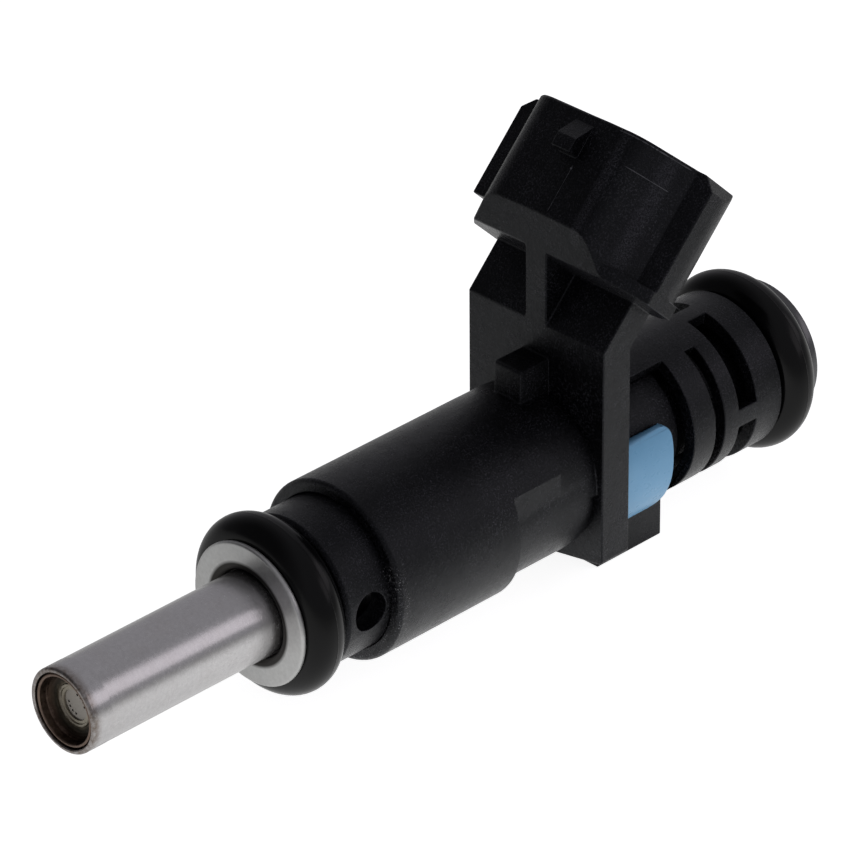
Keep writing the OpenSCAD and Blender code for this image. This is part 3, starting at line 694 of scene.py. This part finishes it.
def ridge(name, path, thickness, material, body, rng, ragged=0.0, sides=6):
    """A thin closed bead along a path: moulding flash, a witness line or a parting line."""
    points, faces = [], []
    last = len(path) - 1
    for k, point in enumerate(path):
        forward = (path[min(k + 1, last)] - path[max(k - 1, 0)]).normalized()
        across = forward.cross(Vector((0.36, -0.62, 0.7))).normalized()
        rise = across.cross(forward)
        r = thickness * (1.0 - ragged * rng.random()) * (0.25 if k in (0, last) else 1.0) * MM
        for j in range(sides):
            turn = 2 * math.pi * j / sides
            points.append(point + r * (math.cos(turn) * across + math.sin(turn) * rise))
    for k in range(last):
        for j in range(sides):
            nxt = (j + 1) % sides
            faces.append((k * sides + j, k * sides + nxt, (k + 1) * sides + nxt, (k + 1) * sides + j))
    faces.append(tuple(range(sides - 1, -1, -1)))
    faces.append(tuple(last * sides + j for j in range(sides)))
    mesh_piece(name, points, faces, material, body)


def on_soft_rim(point):
    """True for the outer edge of the plug's rim, in front and on the +Y side."""
    w = (point.x - PLUG_X) * math.sin(PLUG_LEAN) + point.z * math.cos(PLUG_LEAN)
    v = (point.x - PLUG_X) * math.cos(PLUG_LEAN) - point.z * math.sin(PLUG_LEAN)
    return w > 27.6 and point.y > 0.0 and (v < -11.3 or point.y - v > 18.3)


def on_body_seam(point):
    """True for the shallow steps where the body's flats run out."""
    return 23.2 < point.x < 25.0 and point.z > -2.0 and math.hypot(point.y, point.z) < 7.6


def on_skin(skin, path, lift_mm):
    """Drops the points of a path onto the outside of the plug, a little proud of it."""
    laid = []
    for v, y, w in path:
        middle = plug_point(PLUG_MIDDLE, 0.0, w)
        start = plug_point(PLUG_MIDDLE + OUTSIDE * (v - PLUG_MIDDLE), OUTSIDE * y, w)
        place, normal, _, _ = skin.ray_cast(start, (middle - start).normalized())
        if place is not None:
            laid.append(place + lift_mm * MM * normal)
    return laid


def along(corners, count):
    """Evenly spaced points on the straight stretches between the corners."""
    path = []
    for a, b in zip(corners, corners[1:]):
        for k in range(count):
            path.append(tuple(p + (q - p) * k / count for p, q in zip(a, b)))
    return path + [corners[-1]]


# ---------------------------------------------------------------- the scene

make_camera()
make_world(ROOM_COLOR, ROOM_BRIGHT, ROOM_DARK, FLAG_TOWARD)
make_floor(cad_box[0].z - TABLE_GAP * MM)
soft_light("side_box", BOX_AZIMUTH, BOX_ELEVATION, BOX_DISTANCE, BOX_SIZE, BOX_RADIANCE, BOX_TINT)

body_black = black_nylon("black_nylon_body", gate=(6.3, 7.3, -6.5, 2.5), plug=True)
sleeve_black = black_nylon("black_nylon_sleeve", grain=0.8)
blue = moulded_plastic("blue_nylon", (0.20, 0.46, 0.73), (0.17, 0.42, 0.68), 0.3)
spring_steel = bright_metal("spring_steel", (0.5, 0.48, 0.44), 0.3)
nozzle_steel = turned_steel("stainless_nozzle", stain=0.08, tip=True)
# paler nylon for the thin ridges: torn flash, with a painted highlight
torn_nylon_and_highlight = moulded_plastic("black_nylon_torn_and_highlight", (0.10, 0.10, 0.115), (0.02, 0.02, 0.024), 0.4)

dress({
    "nozzle_tube": nozzle_steel,
    "seal_retainer": turned_steel(
        "stainless_retainer", (0.56, 0.56, 0.555), rough=0.36, stain=0.05, soot_and_shade=(4.12, 4.4)
    ),
    "inlet_tube": turned_steel("inlet_steel", (0.15, 0.15, 0.155), 0.3),
    "backup_washer": rolled_steel("blackened_steel", (0.02, 0.02, 0.02)),
    "stainless": turned_steel("stainless", stain=0.06),
    "tinted_steel": heat_tint("tinted_steel"),
    "plate_steel": rolled_steel("plate_steel", (0.5, 0.47, 0.43)),
    "hardened_steel": bright_metal("hardened_steel", (0.7, 0.7, 0.72), 0.16),
    "magnetic_steel": turned_steel("magnetic_steel", (0.36, 0.36, 0.37), 0.42, marks=1.5),
    "spring_steel": spring_steel,
    "filter_brass": bright_metal("filter_brass", (0.78, 0.57, 0.26), 0.26),
    "terminal_tin": bright_metal("terminal_tin", (0.68, 0.66, 0.62), 0.3),
    "copper_wire": copper_enamel("copper_wire"),
    "lower_o_ring": seal_rubber("seal_rubber_lower", 0.0),
    "upper_o_ring": seal_rubber("seal_rubber_upper", 0.0514),
    "black_nylon": sleeve_black,
    "blue_nylon": blue,
    "bobbin_nylon": moulded_plastic("bobbin_nylon", (0.74, 0.70, 0.58), (0.6, 0.56, 0.45)),
    "filter_nylon": moulded_plastic("filter_nylon", (0.5, 0.6, 0.5), (0.42, 0.52, 0.43)),
    "filter_mesh": woven_screen("filter_screen"),
})

softened(
    "connector_housing", "housing", body_black, 0.13, (on_soft_rim, 2.6), on_body_seam
)

# the nozzle tube goes on into the retainer's mouth and has fine turning marks beside its rim
tube_r, tube_bore, tip_x, tip_round = 3.45, 3.05, -20.77, 0.25
step_x, rear_r, rear_bore, rear_x = -1.85, 3.2, 2.8, 3.4
mark_x, mark_pitch, mark_depth = -20.4, 0.06, 0.012
rim = [
    (tip_x + tip_round * (1 + math.cos(a)), tube_r - tip_round * (1 - math.sin(a)))
    for a in (math.radians(180 - 15 * k) for k in range(7))
]
marks = [(mark_x + mark_pitch * k, tube_r - (mark_depth if k % 2 else 0.0)) for k in range(28)]
nozzle = turned("nozzle_tube_turned", [(tip_x + 0.08, tube_bore), (tip_x, tube_bore + 0.08)] + rim + marks + [
    (step_x - 0.05, tube_r), (step_x, tube_r - 0.05), (step_x, rear_r), (rear_x, rear_r),
    (rear_x, rear_bore), (step_x - 1.1, rear_bore), (step_x - 1.3, tube_bore),
], nozzle_steel, "housing")
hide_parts("nozzle_tube")

# the return spring, coiled between its front and rear ends
coil = spring(
    "return_spring_wire", *SPRING_X, SPRING_TURNS, SPRING_R, SPRING_WIRE_R,
    spring_steel, "housing", "spring_steel",
)
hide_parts("return_spring")
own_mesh(coil)

# moulding marks on the plug: flash along the rim, a witness line across the corner, the parting line; their
# paler colour is torn flash and a painted highlight on the thin ridges
rng = random.Random(MARKS_SEED)
skin = BVHTree.FromPolygons(
    [v.co for v in nodes["connector_housing"].data.vertices],
    [p.vertices for p in nodes["connector_housing"].data.polygons],
)
front, parting_y, rim_w, witness_w = -12.1, -0.97, 27.5, 25.2
corner = [(front, -3.2), (-11.8, -5.0), (-10.3, -6.4), (-8.1, -7.95)]
torn_rim = along([(v, y, rim_w) for v, y in corner], 12)
ridge("rim_flash", on_skin(skin, torn_rim, 0.0), 0.07, torn_nylon_and_highlight, "housing", rng, 0.95)
witness = along([(v, y, witness_w) for v, y in corner[1:3]] + [(-8.7, -7.5, witness_w)], 9)
ridge("witness_line", on_skin(skin, witness, 0.005), 0.05, torn_nylon_and_highlight, "housing", rng, 0.5)
parting = along([(front, parting_y, 23.6), (front, parting_y, 19.6)], 24)
ridge("parting_line", on_skin(skin, parting, 0.0), 0.028, torn_nylon_and_highlight, "housing", rng, 0.6)
dot = along([(front, parting_y, 23.45), (front, parting_y, 23.2)], 3)
ridge("parting_dot", on_skin(skin, dot, 0.02), 0.09, torn_nylon_and_highlight, "housing", rng)

softened("front_housing", "housing", body_black, 0.08)
softened("rear_cage", "housing", sleeve_black, 0.1)
softened("code_insert", "housing", blue, 0.12)

bpy.context.scene.view_settings.view_transform = "Standard"
